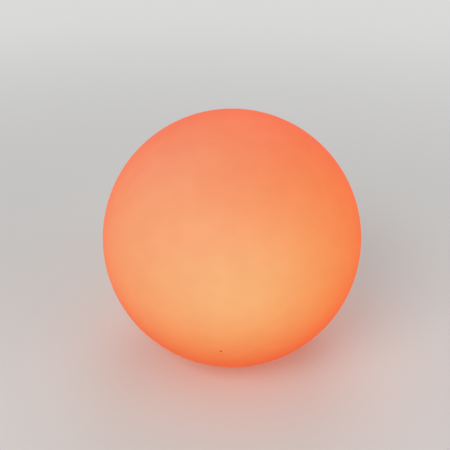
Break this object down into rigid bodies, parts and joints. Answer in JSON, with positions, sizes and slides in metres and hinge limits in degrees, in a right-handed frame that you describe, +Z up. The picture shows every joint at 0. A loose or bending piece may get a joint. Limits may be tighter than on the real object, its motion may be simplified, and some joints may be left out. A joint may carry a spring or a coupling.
{
  "type": "garden globe light",
  "caption": "Round frosted garden light that glows from inside; the hollow ball turns and rises on a twist-lock base with finger wells, a push button and a flap over its charging port.",
  "frame": {"origin": "on the ground under the middle of the base, where the rubber foot ring stands", "axes": "+Z up through the middle of the ball; -Y is the side seen in the picture; the push button is on the -Y side of the base and the charging port on the +Y side"},
  "size_m": [0.2999, 0.3, 0.2933],
  "materials": {
    "frosted_shell": "satin",
    "dark_housing": "fine grain",
    "soft_rubber": "matte",
    "seal_rubber": "matte",
    "button_plastic": "gloss",
    "steel": "plated",
    "cradle_plastic": "matte",
    "cell_wrap": "shrink wrap",
    "board_green": "solder mask",
    "board_white": "white mask",
    "chip_black": "moulded",
    "capacitor_can": "sleeved",
    "terminal_nylon": "matte",
    "led_lens": "clear resin",
    "clear_plastic": "clear",
    "frosted_dome": "frosted",
    "lead_sleeve": "smooth"
  },
  "bodies": {
    "base": {"base_housing": "dark_housing", "bottom_cover": "dark_housing", "foot_ring": "soft_rubber", "cover_gasket": "soft_rubber", "dome_gasket": "soft_rubber", "lead_grommet": "soft_rubber", "cover_screws": "steel", "board_screws": "steel", "cradle_screws": "steel", "strap_screws": "steel", "led_board_screws": "steel", "dome_screws": "steel", "button_spring": "steel", "charging_socket": "steel", "cell_tabs": "steel", "battery_cradle": "cradle_plastic", "battery_strap": "cradle_plastic", "battery_cell_left": "cell_wrap", "battery_cell_right": "cell_wrap", "control_board": "board_green", "led_board": "board_white", "board_chips": "chip_black", "tact_switch": "chip_black", "power_coil": "chip_black", "remote_receiver": "chip_black", "board_capacitors": "capacitor_can", "lead_terminals": "terminal_nylon", "led_packages": "led_lens", "charge_light_pipe": "clear_plastic", "led_dome": "frosted_dome", "lamp_lead": "lead_sleeve", "battery_lead": "lead_sleeve"},
    "seal": {"globe_seal": "seal_rubber"},
    "globe": {"globe_shell": "frosted_shell", "neck_ring": "frosted_shell"},
    "button": {"power_button": "button_plastic", "button_seal": "seal_rubber", "button_clip": "steel"},
    "flap": {"port_flap": "soft_rubber"}
  },
  "joints": [
    {"name": "globe_rise", "type": "slide", "parent": "base", "child": "seal", "axis": [0, 0, 1], "range_m": [0, 0.00427]},
    {"name": "globe_turn", "type": "hinge", "parent": "seal", "child": "globe", "pos_m": [0, 0, 0], "axis": [0, 0, 1], "range_deg": [0, 64]},
    {"name": "button_press", "type": "slide", "parent": "base", "child": "button", "axis": [0, 0, 1], "range_m": [0, 0.0012], "stiffness_N_per_m": 800, "springref_m": -0.002, "deforming": ["button_spring"]},
    {"name": "flap_open", "type": "hinge", "parent": "base", "child": "flap", "pos_m": [0, 0.0241, 0.00325], "axis": [1, 0, 0], "range_deg": [0, 95]}
  ],
  "couplings": [
    {"joint": "globe_rise", "follows": "globe_turn", "m_per_rad": 0.0038197}
  ]
}
